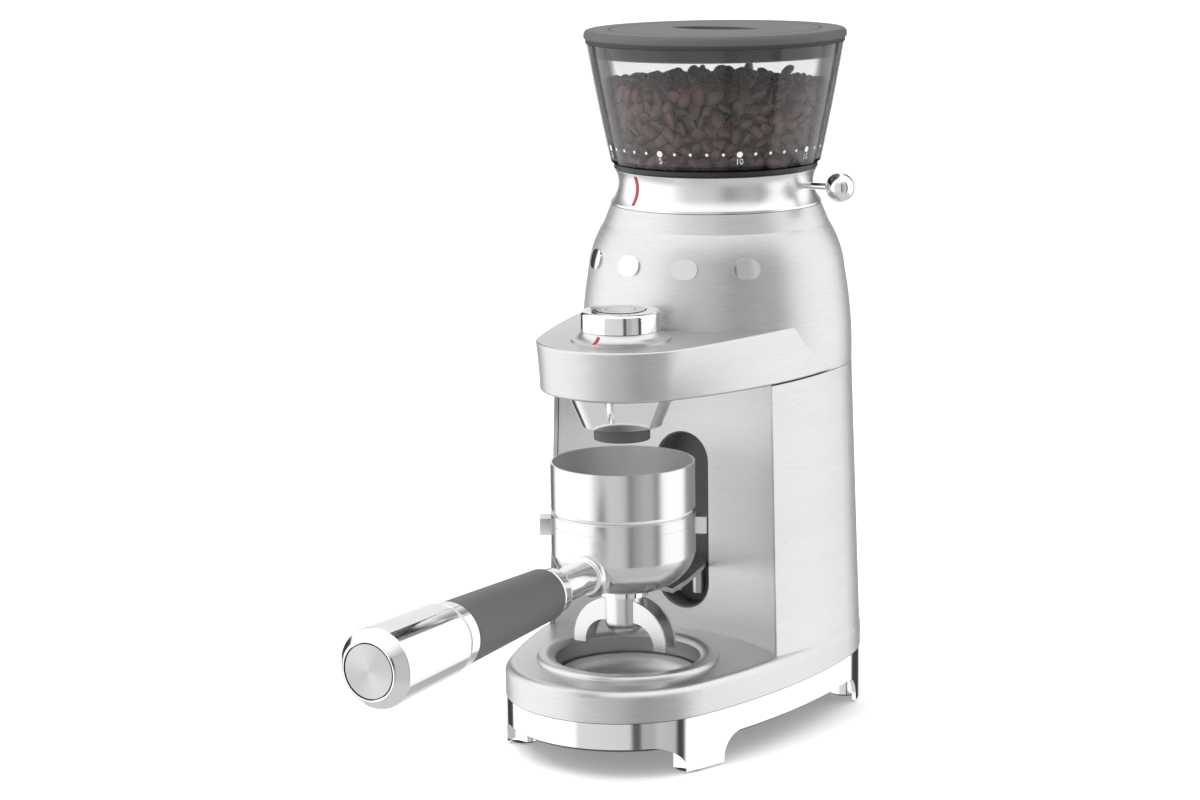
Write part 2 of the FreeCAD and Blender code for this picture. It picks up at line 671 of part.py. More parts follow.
def duct(inset=0.0):
    start = CHAMBER_R - 3.4 - inset
    run = Part.makeLoft([
        duct_section(11.0 - inset, start, CHAMBER_FLOOR - 2 + inset, BURR_Z - inset),
        duct_section(11.0 - inset, REACH, BROW_Z + 3.4 + inset, BROW_Z + 15.3 - inset)], True, True)
    foot = SPOUT_Z + 3.4 - inset
    drop = disc(DUCT_R - inset, foot, BROW_Z + 15.3 - inset, DOSE_Y)
    return merged([run, drop])


def chute():
    outside = disc(CHAMBER_R + GAP, CHAMBER_FLOOR - 8.5, BURR_Z + 8.5)
    return duct().cut(duct(DUCT_WALL)).cut(outside)


def outlet_cone():
    z1 = BROW_Z - GAP
    return turned((CONE_FOOT - SHEET, CONE_Z), (CONE_FOOT, CONE_Z), (CONE_TOP, z1),
                  (DUCT_R + GAP, z1), (DUCT_R + GAP, z1 - SHEET), (CONE_TOP - 2.5, z1 - SHEET),
                  y=DOSE_Y)


def outlet_spout():
    bore = DUCT_R + GAP
    return turned((bore, SPOUT_Z), (SPOUT_R, SPOUT_Z), (SPOUT_R, CONE_Z),
                  (CONE_FOOT - SHEET, CONE_Z), (CONE_FOOT - SHEET, CONE_Z + 2),
                  (bore, CONE_Z + 2), y=DOSE_Y)


# --- Knob --------------------------------------------------------------------------
def knob_seat():
    z0, z1 = BROW_TOP_Z, KNOB_GAP_Z - GAP
    return turned((KNOB_STEM_R + 1, z0), (KNOB_SEAT_R, z0), (KNOB_SEAT_R, z0 + 1.0),
                  ((KNOB_SEAT_R - 3.6, z0 + 2.4), (KNOB_R - 0.6, z1)), (KNOB_STEM_R + 1, z1),
                  y=DOSE_Y)


def knob_index():
    """Red mark that follows the flare of the knob's seat."""
    mark = block(-0.9, 0.9, DOSE_Y - KNOB_SEAT_R - 1, DOSE_Y - KNOB_R - 0.3,
                 BROW_TOP_Z + 1.2, KNOB_GAP_Z)
    seat = knob_seat()
    proud = seat.copy()
    proud.translate(Vector(0, -0.3, 0.2))
    return around(mark.common(proud).cut(seat), -3.0, DOSE_Y)


def control_knob():
    z0, z1 = KNOB_GAP_Z, KNOB_TOP
    web = z0 + 1.7
    bore = BUTTON_R + GAP
    return turned((0, BROW_TOP_Z - 10.2), (KNOB_STEM_R, BROW_TOP_Z - 10.2), (KNOB_STEM_R, z0),
                  (KNOB_R, z0), (KNOB_R, z1 - 3), ((KNOB_R - 0.6, z1 - 0.8), (KNOB_R - 2.4, z1)),
                  (bore, z1), (bore, web), (0, web), y=DOSE_Y)


def start_button():
    z1 = KNOB_TOP + 0.3
    z0 = z1 - 2.9
    return turned((0, z0 - 2.5), (2.1, z0 - 2.5), (2.1, z0), (BUTTON_R, z0), (BUTTON_R, z1 - 0.4),
                  (BUTTON_R - 0.4, z1), (0, z1), y=DOSE_Y)


def button_spring():
    """Folded sleeve between the knob's web and the button."""
    low, high = KNOB_GAP_Z + 1.7, KNOB_TOP + 0.3 - 2.9
    steps = 2 * SPRING_FOLDS
    inner = [(SPRING_R + 0.9 * (k % 2), low + (high - low) * k / steps)
             for k in range(steps + 1)]
    outer = [(r + SPRING_T, z) for r, z in reversed(inner)]
    return turned(*inner, *outer, y=DOSE_Y)


def encoder():
    z1 = BROW_TOP_Z - WALL
    body = disc(7.6, z1 - 7.6, z1, DOSE_Y)
    return body.cut(disc(KNOB_STEM_R + RUN, z1 - 10.2, z1 + 1, DOSE_Y))


def control_board():
    """Circuit board hung from the motor mount, with its largest components."""
    x, y0, y1 = 49.3, AXIS_Y - 5.1, AXIS_Y + 42.5
    z1 = MOUNT_Z
    board = block(x, x + 1.4, y0, y1, z1 - 68.0, z1)
    relay = block(x - 10.2, x, y0 + 3.4, y0 + 17.0, z1 - 34.0, z1 - 17.0)
    coil = Part.makeCylinder(5.1, 10.2, Vector(x - 10.2, y0 + 34.0, z1 - 25.5), Vector(1, 0, 0))
    cap = Part.makeCylinder(4.2, 8.5, Vector(x - 8.5, y0 + 13.6, z1 - 52.7), Vector(1, 0, 0))
    return merged([board, relay, coil, cap])


# --- Collar, hopper and lid --------------------------------------------------------
def grind_collar():
    z0, z1 = COLLAR_Z, COLLAR_TOP
    body = turned((COLLAR_BORE, z0), (COLLAR_R, z0), (COLLAR_R, z0 + 1.3),
                  ((COLLAR_WAIST, z0 + 10.6), (COLLAR_TOP_R, z1 - 1)), (COLLAR_TOP_R - 0.7, z1),
                  (COLLAR_BORE, z1))
    hole = Part.makeCylinder(LEVER_R, 25.5, Vector(COLLAR_BORE - 4.2, AXIS_Y, LEVER_Z), Vector(1, 0, 0))
    return body.cut(hole)


def collar_index():
    z0, z1 = COLLAR_Z + 2.5, COLLAR_TOP - 2
    mark = block(-1.1, 1.1, AXIS_Y - COLLAR_R - 1, AXIS_Y - COLLAR_BORE - 2, z0, z1)
    body = grind_collar()
    proud = turned((COLLAR_BORE, COLLAR_Z), (COLLAR_R + 0.3, COLLAR_Z),
                   (COLLAR_R + 0.3, COLLAR_Z + 1.3),
                   ((COLLAR_WAIST + 0.3, COLLAR_Z + 10.6), (COLLAR_TOP_R + 0.3, COLLAR_TOP - 1)),
                   (COLLAR_BORE, COLLAR_TOP))
    return around(mark.common(proud).cut(body), INDEX_ANGLE)


def lever_rod():
    return Part.makeCylinder(LEVER_R, BALL_AT - BALL_R + 2.5 - COLLAR_BORE,
                             Vector(COLLAR_BORE, AXIS_Y, LEVER_Z), Vector(1, 0, 0))


def lever_ball():
    ball = Part.makeSphere(BALL_R, Vector(BALL_AT, AXIS_Y, LEVER_Z))
    return ball.cut(lever_rod())


def hopper():
    """Clear funnel-shaped container, open at the top and at its outlet."""
    z0 = COLLAR_TOP + GAP
    foot_r = HOPPER_FOOT_R
    wall = HOPPER_WALL
    outlet = HOPPER_OUTLET_R
    seat = z0 + FOOT_BAND_H
    low = z0 - 18.7
    bulge = ((foot_r + HOPPER_TOP_R) / 2 + 1.0, (seat + HOPPER_TOP_Z) / 2 + 3.4)
    top_in = HOPPER_TOP_R - wall
    return turned((outlet + wall, low), (outlet + wall, low + 5.1), (COLLAR_BORE - 3.4, seat - 0.4),
                  (foot_r - 2.5, seat), (foot_r, seat + 1), (bulge, (HOPPER_TOP_R, HOPPER_TOP_Z)),
                  (top_in, HOPPER_TOP_Z),
                  ((bulge[0] - wall, bulge[1]), (foot_r - wall, seat + 2.7)),
                  (COLLAR_BORE - 6.3, seat + 1.8), (outlet, low + 7.2), (outlet, low))


def hopper_foot():
    """Dark band the hopper stands on."""
    z0 = COLLAR_TOP + GAP
    return ring(COLLAR_BORE + 1, HOPPER_FOOT_R - 1.9, z0, z0 + FOOT_BAND_H - 0.3)


def lid():
    z0, z1 = LID_Z, TOTAL_H
    seal_r = HOPPER_TOP_R - HOPPER_WALL - GAP
    disc_part = turned((0, z0), (LID_R - 1, z0), (LID_R, z0 + 1), (LID_R, z1 - 2.5),
                       ((LID_R - 0.8, z1 - 0.8), (LID_R - 2.5, z1)), (0, z1))
    skirt = ring(seal_r - 4.2, seal_r - 1.9, z0 - SEAL_H, z0)
    line = ring(LID_LINE_R, LID_LINE_R + 0.8, z1 - 0.5, z1 + 1)
    return merged([disc_part, skirt]).cut(lid_grip()).cut(line)


def lid_grip():
    """Lens-shaped finger recess across the middle of the lid."""
    radius, offset, floor = 40.0, 28.0, TOTAL_H - 3.6
    lens = disc(radius, floor, TOTAL_H + 1, AXIS_Y - offset)
    return lens.common(disc(radius, floor, TOTAL_H + 1, AXIS_Y + offset))


def lid_seal():
    """Soft ring on the lid's skirt; its flange lies between lid and hopper rim."""
    low = LID_Z - SEAL_H + 1
    rim = HOPPER_TOP_Z + GAP
    seal_r = HOPPER_TOP_R - HOPPER_WALL - GAP
    return turned((seal_r - 1.9, low), (seal_r - 1.2, low), (seal_r - 0.8, rim),
                  (LID_R - 1.0, rim), (LID_R - 1.0, LID_Z), (seal_r - 1.9, LID_Z))


# --- Portafilter -------------------------------------------------------------------
def cup_outer():
    """Bowl with the flared boss its neck is screwed into."""
    r, z = CUP_R, CUP_BOTTOM
    line = CUP_RIM - LINE_DROP
    bowl = turned((0, z), (r - 23.2, z), ((r - 7.2, z + 7.1), (r, z + 20.4)), (r, line),
                  (r - 0.3, line), (r - 0.3, line + LINE_W), (r, line + LINE_W), (r, CUP_RIM),
                  (0, CUP_RIM), y=DOSE_Y)
    end = r + NECK_BOSS_L
    wide = NECK_BOSS_R + NECK_FLARE
    boss = along_handle((0, 17.0), (wide, 17.0), (wide, r - 3.4),
                        ((NECK_BOSS_R + 0.28 * NECK_FLARE, r - 1.0), (NECK_BOSS_R, end)), (0, end))
    return merged([bowl, boss])


def portafilter_cup():
    t = CUP_WALL
    r_in = CUP_R - t
    z = CUP_BOTTOM
    hollow = turned((0, z + 2.9), (13.6, z + 3.1), ((r_in - 6.5, z + 10.2), (r_in, z + 22.1)),
                    (r_in, CUP_RIM + 1), (0, CUP_RIM + 1), y=DOSE_Y)
    foot, top = (CUP_RIM - drop for drop in EAR_DROP)
    ear = ring(CUP_R - 1, CUP_R + EAR_REACH, foot, top, DOSE_Y)
    reach = 2 * CUP_R
    spread = reach * math.tan(math.radians(EAR_SPREAD))
    fan = [Vector(0, DOSE_Y, 0), Vector(reach, DOSE_Y - spread, 0),
           Vector(reach, DOSE_Y + spread, 0), Vector(0, DOSE_Y, 0)]
    wedge = Part.Face(Part.makePolygon(fan)).extrude(Vector(0, 0, TOTAL_H))
    ears = [ear.common(around(wedge, turn, DOSE_Y)) for turn in (EAR_TURN, EAR_TURN + 180)]
    boss = disc(BOSS_R, CUP_BOTTOM - NUT_H, CUP_BOTTOM + 1, DOSE_Y)
    body = merged([cup_outer(), boss] + ears).cut(hollow)
    return body.cut(disc(4.2, CUP_BOTTOM - 8.5, CUP_BOTTOM + 8.5, DOSE_Y))


def filter_basket():
    r, t = BASKET_R, BASKET_T
    low = CUP_RIM - 22.1
    return turned((0, low), (r - 6.0, low), (r - 1.0, low + 11.9), (r - 1.0, CUP_RIM),
                  (r + 2.5, CUP_RIM), (r + 2.5, CUP_RIM + t), (r - 1.0 - t, CUP_RIM + t),
                  (r - 1.0 - t, low + 11.9), (r - 6.3, low + t), (0, low + t), y=DOSE_Y)


def basket_spring():
    """Wire ring that grips the basket inside the cup."""
    middle = (BASKET_R - 1.0 + CUP_R - CUP_WALL) / 2
    return Part.makeTorus(middle, 0.8, Vector(0, DOSE_Y, CUP_RIM - 7.6))


def dosing_ring():
    """Funnel ring standing on the basket's rim, drawn in at its foot."""
    z0 = CUP_RIM + BASKET_T + GAP
    r, t = DOSING_R, DOSING_WALL
    return turned((r - 2.4, z0), (r - 1.3, z0), (r - 1.3, z0 + 1.6), (r, z0 + 2.0),
                  (r, DOSING_TOP), (r - t, DOSING_TOP), (r - t, z0 + 3.0), (r - 2.4, z0 + 2.2),
                  y=DOSE_Y)


def handle_neck():
    """Bright tube with a rounded collar against the bowl's boss, and the grip's stud."""
    start = CUP_R + NECK_BOSS_L
    shoulder = GRIP_FROM - FERRULE_L
    end = GRIP_TO - 17.0
    return along_handle((0, start), (NECK_BOSS_R, start),
                        ((NECK_BOSS_R + 0.4, start + 1.0), (NECK_BOSS_R - 0.1, start + 2.0)),
                        (NECK_R, start + 2.4), (NECK_R, shoulder), (STUD_R, shoulder),
                        (STUD_R, end), (0, end))


def handle_ferrule():
    s0, s1 = GRIP_FROM - FERRULE_L, GRIP_FROM
    r = GRIP_FRONT_R - 0.9
    return along_handle((STUD_R + RUN, s0), (r - 2.4, s0), ((r - 1.2, s0 + 0.8), (r - 0.8, s0 + 2.4)),
                        (r, s1 - 1.6), (r - 0.6, s1), (STUD_R + RUN, s1))


def handle_grip():
    s0, s1 = GRIP_FROM, GRIP_TO
    front, rear = GRIP_FRONT_R, GRIP_REAR_R
    return along_handle((STUD_R + RUN, s0), (front - 1.0, s0), ((front - 0.3, s0 + 0.5), (front, s0 + 1.6)),
                        (rear, s1 - 1), (rear - 0.4, s1), (0, s1), (0, s1 - 16.1),
                        (STUD_R + RUN, s1 - 16.1))


def handle_ring():
    s0, s1 = GRIP_TO, CAP_FROM
    r = GRIP_REAR_R
    return along_handle((0, s0), (r - 0.3, s0), (r + 0.2, s0 + 0.7), (r + 0.4, s1 - 2.2),
                        (r - 0.5, s1 - 1.7), (r - 0.5, s1), (0, s1))


def handle_cap():
    """Hollow end cap with a bevelled rim round the medallion."""
    s0, s1 = CAP_FROM, HANDLE_END
    rear, front, rim = CAP_REAR_R, CAP_FRONT_R, RIM_R
    cap = along_handle((0, s0), (rear - 1.6, s0), ((rear - 0.5, s0 + 0.6), (rear, s0 + 2.2)),
                       (front, s1 - 7.2), ((front - 0.1, s1 - 6.4), (front - 0.6, s1 - 5.7)),
                       (rim + 0.8, s1 - 0.7), (rim, s1), (rim - 0.6, s1),
                       (rim - 0.6, s1 - 1.4), (0, s1 - 1.4))
    return cap.cut(along_handle((0, s0 + 3), (rear - 3.4, s0 + 3), (front - 3.4, s1 - 9),
                                (rim - 2.0, s1 - 4), (0, s1 - 4)))


def handle_medallion():
    s1 = HANDLE_END
    return along_handle((0, s1 - 1.4), (14.3, s1 - 1.4), (14.3, s1 - 0.4), (14.0, s1 - 0.2),
                        (0, s1 - 0.2))


def spout_nut():
    z0 = CUP_BOTTOM - NUT_H
    return ring(BOSS_R, NUT_R, z0, CUP_BOTTOM, DOSE_Y)


def trough(side):
    """Open curved channel; its cheeks and floor leave the top outside free."""
    z = CUP_BOTTOM
    tip = z - 33.5
    band = face_of([(7.6, z - 6.3), ((22.4, z - 13.6), (29.1, tip)), (21.8, tip),
                    ((17.0, z - 21.9), (7.6, z - 19.0))])
    channel = face_of([(7.6, z), (34.0, z), (34.0, tip - 1), (21.8 + SHEET, tip - 1),
                       ((17.0 + SHEET, z - 21.9 + SHEET), (7.6, z - 19.0 + SHEET))])
    solid = band.extrude(Vector(0, TROUGH_W, 0))
    hollow = channel.extrude(Vector(0, TROUGH_W - 2 * SHEET, 0))
    hollow.translate(Vector(0, SHEET, 0))
    solid = solid.cut(hollow)
    solid.translate(Vector(0, DOSE_Y - TROUGH_W / 2, 0))
    return solid if side > 0 else around(solid, 180, DOSE_Y)


def twin_spout():
    z = CUP_BOTTOM
    top = z - NUT_H
    foot = z - STUB_H
    r = STUB_R
    stub = turned((0, foot - 4.3), ((0.71 * r, foot - 3.0), (r, foot + 3.0)), (r, top), (0, top),
                  y=DOSE_Y)
    r_in = r - 1.8
    hollow = turned((0, foot - 1.5), ((0.71 * r_in, foot - 0.5), (r_in, foot + 4.5)),
                    (r_in, top + 1), (0, top + 1), y=DOSE_Y)
    return merged([stub, trough(1), trough(-1)]).cut(hollow)


NODES = {
    'plinth': plinth, 'foot_pads': foot_pads, 'bottom_cover': bottom_cover,
    'cover_screws': cover_screws, 'body_shell': body_shell, 'face_panel': face_panel,
    'recess_liner': recess_liner, 'cord_gland': gland, 'tray_ring': tray_ring,
    'tray_well': tray_well, 'tray_dish': tray_dish, 'portafilter_fork': fork,
    'upper_housing': upper_housing, 'brow_plate': brow_plate, 'front_emblem': emblem,
    'motor_mount': motor_mount, 'gear_case': gear_case, 'shaft_bearings': bearings,
    'motor_can': motor_can, 'motor_rotor': rotor, 'motor_pinion': pinion,
    'drive_gear': drive_gear, 'burr_shaft': burr_shaft, 'sweeper': sweeper,
    'cone_burr': cone_burr, 'burr_nut': burr_nut, 'ring_burr': ring_burr,
    'burr_carrier': burr_carrier, 'grind_chamber': grind_chamber, 'grounds_chute': chute,
    'outlet_cone': outlet_cone, 'outlet_spout': outlet_spout, 'knob_seat': knob_seat,
    'knob_index': knob_index, 'control_knob': control_knob, 'start_button': start_button,
    'button_spring': button_spring, 'rotary_encoder': encoder, 'control_board': control_board,
    'grind_collar': grind_collar, 'collar_index': collar_index, 'lever_rod': lever_rod,
    'lever_ball': lever_ball, 'hopper': hopper, 'hopper_foot': hopper_foot, 'lid': lid,
    'lid_seal': lid_seal, 'portafilter_cup': portafilter_cup, 'filter_basket': filter_basket,
    'basket_spring': basket_spring, 'dosing_ring': dosing_ring, 'handle_neck': handle_neck,
    'handle_ferrule': handle_ferrule, 'handle_grip': handle_grip, 'handle_ring': handle_ring,
    'handle_cap': handle_cap, 'handle_medallion': handle_medallion, 'spout_nut': spout_nut,
    'twin_spout': twin_spout,
}

os.makedirs("parts", exist_ok=True)
for node, make in NODES.items():
    shape = make()
    if not shape.isValid() or shape.Volume <= 0:
        print('CHECK', node, shape.isValid(), round(shape.Volume, 1))
    print(f'{node}: {len(shape.Solids)} solid(s), {shape.Volume / 1000:.2f} cm3')
    shape.exportStep(f"parts/{node}.step")
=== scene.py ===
# %% [markdown]
# # A coffee grinder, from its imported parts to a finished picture
# The hard parts of this grinder, such as its shell, knob, cup and handle, come from the
# CAD model and are loaded first. They stay exactly where they are. What Blender adds is
# the surface of each of them, the beans, the printed scale, and the light.

# %% Load the frame
import bpy
import math
import numpy as np
from mathutils import Matrix, Vector


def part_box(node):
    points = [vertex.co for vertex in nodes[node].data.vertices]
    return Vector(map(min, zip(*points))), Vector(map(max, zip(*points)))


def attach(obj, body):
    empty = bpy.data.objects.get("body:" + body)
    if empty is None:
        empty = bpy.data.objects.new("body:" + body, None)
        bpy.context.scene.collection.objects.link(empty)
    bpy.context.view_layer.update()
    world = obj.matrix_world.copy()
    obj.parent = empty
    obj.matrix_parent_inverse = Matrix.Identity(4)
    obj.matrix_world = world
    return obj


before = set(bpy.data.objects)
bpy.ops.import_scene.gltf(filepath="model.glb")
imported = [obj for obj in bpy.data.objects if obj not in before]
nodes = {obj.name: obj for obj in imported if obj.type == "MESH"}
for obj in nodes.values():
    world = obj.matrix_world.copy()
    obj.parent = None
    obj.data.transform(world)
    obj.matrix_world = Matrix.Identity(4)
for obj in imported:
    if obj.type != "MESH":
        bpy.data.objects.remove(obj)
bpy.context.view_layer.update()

# %% [markdown]
# Three upright axes run through the machine: one through the burrs, one through the knob
# and the portafilter, and one through the tray. The handle has a level one. Many finishes
# are spun round one of them, so they are measured once, from the boxes of the parts that
# sit on them.

# %% Axes and heights
def middle(node):
    """Centre of a part's box."""
    low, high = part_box(node)
    return (low + high) / 2


burr_axis = middle("hopper_foot")
dosing_axis = middle("control_knob")
tray_axis = middle("tray_ring")
handle_axis = middle("handle_medallion")
rim_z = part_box("hopper")[1].z
seat_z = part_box("hopper_foot")[1].z
print("burr axis y", round(burr_axis.y, 4), "dosing axis y", round(dosing_axis.y, 4))

# %% [markdown]
# ## Camera
# A product picture is taken with a long lens from far away, which keeps upright lines
# nearly parallel. The camera is turned in three steps: heading, tilt and a slight roll.
# Multiplying the three turns keeps each of them readable, where one set of Euler angles
# would hide them.

# %% Camera
HEADING, TILT, ROLL = 30.518, 90 - 11.063, -0.818       # degrees
CAMERA_PLACE = (0.7836, -1.3272, 0.5020)
LENS, SENSOR = 86.77, 36.0                              # millimetres

camera_data = bpy.data.cameras.new("camera")
camera_data.sensor_width = SENSOR
camera_data.lens = LENS
camera = bpy.data.objects.new("camera", camera_data)
bpy.context.scene.collection.objects.link(camera)
heading = Matrix.Rotation(math.radians(HEADING), 4, "Z")
tilt = Matrix.Rotation(math.radians(TILT), 4, "X")
roll = Matrix.Rotation(math.radians(ROLL), 4, "Z")
camera.matrix_world = Matrix.Translation(CAMERA_PLACE) @ heading @ tilt @ roll
bpy.context.scene.camera = camera
bpy.context.scene.view_settings.view_transform = "Standard"
print("camera at", [round(v, 3) for v in camera.location])

# %% [markdown]
# ## Shader helpers
# Node graphs get long quickly. Here a small class wraps a socket, so that maths on it is
# written as ordinary Python and each operator adds one Math node. Everything else comes
# from a single method, `node`, which sets the node's own options first and then its
# inputs, by value or by link. A material and the room share it, so it sits in a class
# of its own.

# %% Shader maths
class Wire:
    """One output socket, with Python's operators."""

    def __init__(self, graph, socket):
        self.graph, self.socket = graph, socket

    def math(self, operation, *others):
        values = {0: self, **{k + 1: v for k, v in enumerate(others)}}
        return self.graph.node("Math", {"operation": operation}, values)

    def __add__(self, other):
        return self.math("ADD", other)

    def __sub__(self, other):
        return self.math("SUBTRACT", other)

    def __mul__(self, other):
        return self.math("MULTIPLY", other)

    def __truediv__(self, other):
        return self.math("DIVIDE", other)

    def __rsub__(self, other):
        return (self * -1.0) + other

    def __gt__(self, other):
        return self.math("GREATER_THAN", other)

    def __lt__(self, other):
        return self.math("LESS_THAN", other)

    __radd__, __rmul__ = __add__, __mul__


class Graph:
    """A node tree under construction."""

    def __init__(self, tree):
        self.tree = tree

    def node(self, kind, settings=None, values=None, out=0):
        node = self.tree.nodes.new("ShaderNode" + kind)
        for key, value in (settings or {}).items():
            if key == "stops":
                ramp = node.color_ramp
                while len(ramp.elements) < len(value):
                    ramp.elements.new(0.5)
                for element, (position, colour) in zip(ramp.elements, value):
                    element.position, element.color = position, (*colour, 1.0)
            else:
                setattr(node, key, value)
        for key, value in (values or {}).items():
            self.plug(value, node.inputs[key])
        return Wire(self, node.outputs[out])

    def plug(self, value, socket):
        if isinstance(value, Wire):
            self.tree.links.new(value.socket, socket)
        else:
            socket.default_value = value

    def split(self, vector):
        """The x, y and z of a vector as three wires."""
        return [self.node("SeparateXYZ", values={0: vector}, out=k) for k in range(3)]

    def vector(self, x, y, z):
        return self.node("CombineXYZ", values={0: x, 1: y, 2: z})

    def noise(self, vector, scale, detail=2.0):
        return self.node("TexNoise", values={"Vector": vector, "Scale": scale, "Detail": detail})

    def rings(self, value, scale, detail=2.0):
        """Noise that changes with one value only."""
        return self.node("TexNoise", {"noise_dimensions": "1D"},
                         {"W": value, "Scale": scale, "Detail": detail})

    def tint(self, amount, low, high, blend="MIX"):
        """Colour between two others, each a wire or three numbers."""
        low, high = [c if isinstance(c, Wire) else (*c, 1.0) for c in (low, high)]
        return self.node("Mix", {"data_type": "RGBA", "blend_type": blend},
                         {0: amount, 6: low, 7: high}, out=2)


class Finish(Graph):
    """A material. Constants are set on the Principled shader."""

    def __init__(self, name, **constants):
        self.material = bpy.data.materials.new(name)
        self.material.use_nodes = True
        super().__init__(self.material.node_tree)
        self.shader = self.tree.nodes["Principled BSDF"]
        self.output = self.tree.nodes["Material Output"]
        for key, value in constants.items():
            self.shader.inputs[key.replace("_", " ")].default_value = value

    def set(self, **sockets):
        for key, value in sockets.items():
            self.plug(value, self.shader.inputs[key.replace("_", " ")])
        return self

    def colour(self):
        """The wire that feeds the colour so far."""
        return Wire(self, self.shader.inputs["Base Color"].links[0].from_socket)

    def place(self):
        """Object coordinates as three wires: x, y, z in metres."""
        return self.split(self.node("TexCoord", out="Object"))

    def bump(self, height, distance, strength):
        normal = self.node("Bump", values={"Height": height, "Distance": distance,
                                           "Strength": strength})
        return self.set(Normal=normal)


def hypot(a, b):
    """Distance from an axis, from two wires that run across it."""
    return (a * a + b * b).math("SQRT")


def dress(finish, *names):
    """Give CAD parts a finish by filling their material slots."""
    for name in names:
        data = nodes[name].data
        data.materials.clear()
        data.materials.append(finish.material)
    print(finish.material.name, "on", len(names), "parts")


# %% [markdown]
# ## Brushed aluminium
# The shell is aluminium sheet brushed in one direction. Brushing is thousands of short
# scratches, so a noise that changes about thirty times faster across the surface than
# along it gives the right grain. Upright faces are brushed level, and flat tops along X, so the
# squeezed direction is Z on the sides and Y on the tops, chosen by the surface normal.

# %% Brushed aluminium
BRUSH_ALONG, BRUSH_ACROSS = 90.0, 2600.0    # noise scales along and across the scratches
LYING = 0.72                                # a normal this upright belongs to a flat top


def brushed_aluminium(name, low, high, anisotropic, roughness):
    f = Finish(name, Metallic=1.0, Anisotropic=anisotropic)
    x, y, z = f.place()
    normal = f.node("NewGeometry", out="Normal")
    up = f.node("SeparateXYZ", values={0: normal}, out=2).math("ABSOLUTE") > LYING
    along = x * BRUSH_ALONG
    sides = f.noise(f.vector(along, y * BRUSH_ALONG, z * BRUSH_ACROSS), 1.0, 3.0)
    tops = f.noise(f.vector(along, y * BRUSH_ACROSS, 3.0), 1.0, 3.0)
    grain = sides * (1 - up) + tops * up
    cloud = f.noise(f.vector(x, y, z * 6.0), 9.0, 2.0)
    f.set(Base_Color=f.tint(grain * 0.9 + cloud * 0.3 - 0.1, [low] * 3, [high] * 3),
          Roughness=grain * 0.16 + roughness)
    return f.bump(grain, 0.00002, 0.25)


dress(brushed_aluminium("brushed_aluminium", 0.52, 0.74, 0.5, 0.28), "body_shell",
      "upper_housing")
# The face panel is the shell's aluminium painted paler, which is painted light on the front
# face. It also has lower anisotropy and more roughness.
dress(brushed_aluminium("brushed_panel_painted_paler", 0.78, 0.98, 0.2, 0.42), "face_panel")

# %% [markdown]
# ## Polished chrome
# Chrome has hardly any colour of its own: it shows the room. A mirror that is perfectly
# even looks like a computer picture, so a wide, faint noise lets the roughness drift the
# way wiping leaves it, and a fine one adds hairline polishing marks.

# %% Polished chrome
def polished_chrome(name, colour, roughness, marks=1.0):
    f = Finish(name, Metallic=1.0)
    x, y, z = f.place()
    wiping = f.noise(f.vector(x, y, z), 38.0, 3.0)
    hairlines = f.noise(f.vector(x * 90.0, y * 90.0, z * 2200.0), 1.0, 2.0)
    f.set(Base_Color=f.tint(wiping, [c * 0.95 for c in colour], colour),
          Roughness=wiping * 0.05 + hairlines * 0.03 * marks + roughness)
    return f.bump(hairlines, 0.000004, 0.3 * marks)


chrome = polished_chrome("polished_chrome", (0.86, 0.86, 0.865), 0.03)
dress(chrome, "front_emblem", "outlet_cone", "lever_rod", "lever_ball", "handle_neck",
      "handle_ferrule", "handle_ring", "handle_cap", "spout_nut")
dress(polished_chrome("plinth_chrome", (0.83, 0.83, 0.835), 0.05), "plinth")
dress(polished_chrome("satin_chrome", (0.72, 0.72, 0.725), 0.20), "portafilter_cup")
dress(polished_chrome("spout_chrome", (0.70, 0.70, 0.705), 0.24), "twin_spout")
dress(polished_chrome("collar_silver", (0.78, 0.78, 0.785), 0.28, marks=0.3), "grind_collar")

# %% [markdown]
# The knob is chrome too, with short black ticks printed on its flat top rim. They are a
# mask in polar coordinates: true between two radii, and near certain angles only.

# %% Knob chrome with ticks
TICK_FROM, TICK_TO = 0.0162, 0.0186     # radii in metres
TICK_STEP, TICK_ARC = 15.0, 68.0        # degrees between ticks, and each way from the front
TICK_HALF = 0.055                       # half a tick's width, as a share of the step


def ticked_chrome(top):
    f = polished_chrome("knob_chrome", (0.86, 0.86, 0.865), 0.04)
    x, y, z = f.place()
    a, b = x - dosing_axis.x, y - dosing_axis.y
    radius = hypot(a, b)
    rim = (radius > TICK_FROM) * (radius < TICK_TO) * (z > top - 0.0002)
    turn = a.math("ARCTAN2", b * -1.0) * (180 / math.pi)
    beat = ((turn / TICK_STEP + 0.5).math("FRACT") - 0.5).math("ABSOLUTE") < TICK_HALF
    arc = turn.math("ABSOLUTE") < TICK_ARC
    return f.set(Base_Color=f.tint(rim * beat * arc, f.colour(), (0.02, 0.02, 0.022)))


dress(ticked_chrome(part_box("control_knob")[1].z), "control_knob")

# %% [markdown]
# The dosing ring is satin outside. The inner face is found by its distance from the axis.
# There the metal share drops and the colour is painted paler, as painted light, so that it glows
# softly instead of mirroring the dark bottom of the cup. Painted highlight streaks swing the
# tone with the angle round the axis.

# %% Dosing ring
OUTER_SKIN = 0.0006                     # how deep the outside finish reaches, metres


